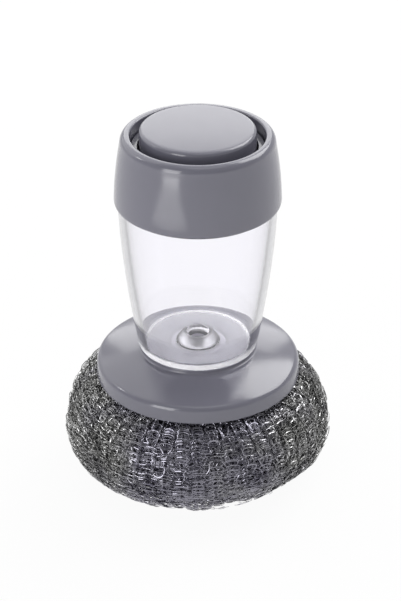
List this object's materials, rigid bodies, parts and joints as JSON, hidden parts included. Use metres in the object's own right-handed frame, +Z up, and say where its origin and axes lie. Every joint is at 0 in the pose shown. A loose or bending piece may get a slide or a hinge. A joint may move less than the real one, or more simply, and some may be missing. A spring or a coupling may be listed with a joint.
{
  "type": "soap dispensing scourer",
  "caption": "Palm-held soap-dispensing scourer: a press-pump cap on a clear tapered jar, a grey flanged head and a ball of knitted steel wool",
  "frame": {"origin": "Centre of the scourer's flat sole, on the floor it stands on", "axes": "+Z up along the common axis of all turned pieces, towards the button; -Y towards the viewer; +X to the viewer's right"},
  "size_m": [0.0894, 0.0894, 0.1259],
  "materials": {
    "grey_plastic": "moulded mid-grey plastic, satin gloss",
    "clear_plastic": "clear moulded plastic",
    "white_plastic": "natural white moulded plastic",
    "silicone": "translucent grey silicone rubber",
    "rubber": "black rubber",
    "steel_wool": "knitted flat stainless steel wire, bright with dark gaps",
    "steel_wire": "drawn stainless wire",
    "spring_steel": "stainless spring wire"
  },
  "bodies": {
    "scourer": {"steel_scourer": "steel_wool", "scourer_tie": "steel_wire", "scourer_retainer": "grey_plastic", "stem_seal": "rubber"},
    "head": {"base_flange": "grey_plastic"},
    "seal": {"neck_seal": "silicone"},
    "jar": {"reservoir_jar": "clear_plastic", "outlet_valve": "silicone", "outlet_nozzle": "white_plastic"},
    "lid_ring": {"lid_gasket": "silicone"},
    "pump": {"pump_housing": "white_plastic", "barrel_end_plate": "white_plastic", "air_valve": "silicone", "return_spring": "spring_steel"},
    "collar": {"cap_collar": "grey_plastic", "guide_ring": "grey_plastic"},
    "button": {"press_button": "grey_plastic", "piston_rod": "white_plastic", "piston_seal": "silicone"}
  },
  "joints": [
    {"name": "head_pull_off", "type": "slide", "parent": "scourer", "child": "head", "axis": [0, 0, 1], "range_m": [0, 0.01]},
    {"name": "jar_rise", "type": "slide", "parent": "head", "child": "seal", "axis": [0, 0, 1], "range_m": [0, 0.009]},
    {"name": "jar_turn", "type": "hinge", "parent": "seal", "child": "jar", "pos_m": [0, 0, 0.0483], "axis": [0, 0, 1], "range_deg": [0, 1080]},
    {"name": "cap_lift_off", "type": "slide", "parent": "jar", "child": "lid_ring", "axis": [0, 0, 1], "range_m": [0, 0.03]},
    {"name": "cap_rise", "type": "slide", "parent": "lid_ring", "child": "pump", "axis": [0, 0, 1], "range_m": [0, 0.0045]},
    {"name": "cap_turn", "type": "hinge", "parent": "pump", "child": "collar", "pos_m": [0, 0, 0.10065], "axis": [0, 0, 1], "range_deg": [0, 540]},
    {"name": "button_press", "type": "slide", "parent": "pump", "child": "button", "axis": [0, 0, -1], "range_m": [0, 0.005], "stiffness_N_per_m": 600, "springref_m": -0.003, "deforming": ["return_spring"]}
  ],
  "couplings": [
    {"joint": "jar_rise", "follows": "jar_turn", "m_per_rad": 0.000477},
    {"joint": "cap_rise", "follows": "cap_turn", "m_per_rad": 0.000477}
  ]
}
